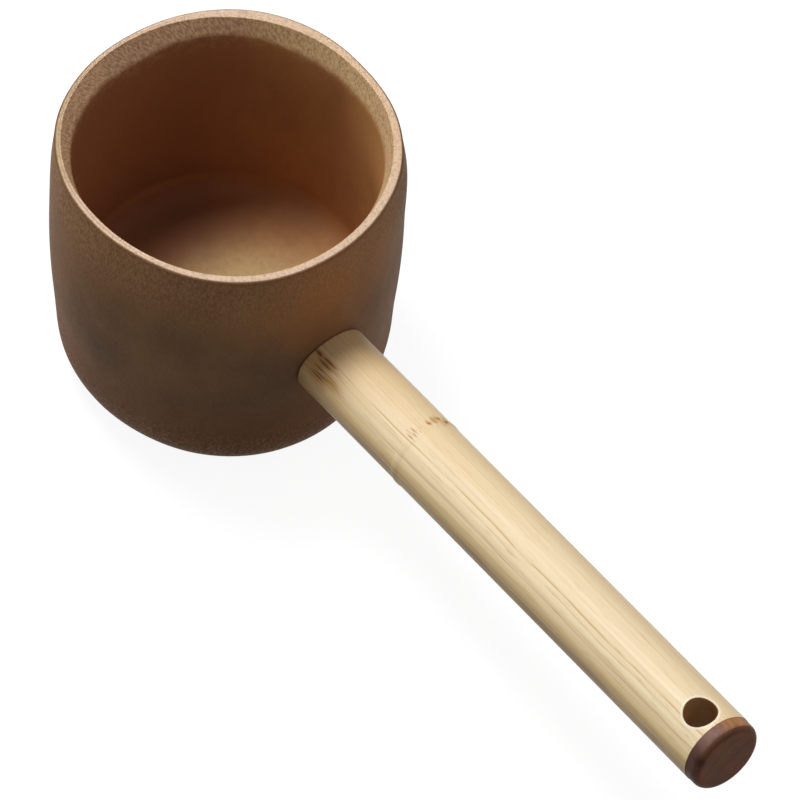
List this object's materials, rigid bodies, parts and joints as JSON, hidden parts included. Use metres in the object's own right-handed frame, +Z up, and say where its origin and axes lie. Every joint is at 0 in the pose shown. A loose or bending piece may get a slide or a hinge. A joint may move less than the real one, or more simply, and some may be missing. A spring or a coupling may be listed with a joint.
{
  "type": "water dipper",
  "caption": "Water dipper: a round bamboo cup with a straight bamboo handle butted on its side, a hanging hole and a dark wooden end plug.",
  "frame": {"origin": "centre of the foot ring, on the surface that the cup stands on", "axes": "+Z up along the cup's axis; the handle runs from the cup towards +X and rises 6 degrees"},
  "size_m": [0.3062, 0.11, 0.102],
  "materials": {
    "brown_bamboo": "satin, oiled",
    "blond_bamboo": "satin, polished culm skin",
    "dark_wood": "satin, oiled",
    "dowel_wood": "matte"
  },
  "bodies": {
    "root": {"cup": "brown_bamboo", "handle_tube": "blond_bamboo", "end_plug": "dark_wood", "joint_dowel": "dowel_wood"}
  },
  "joints": []
}
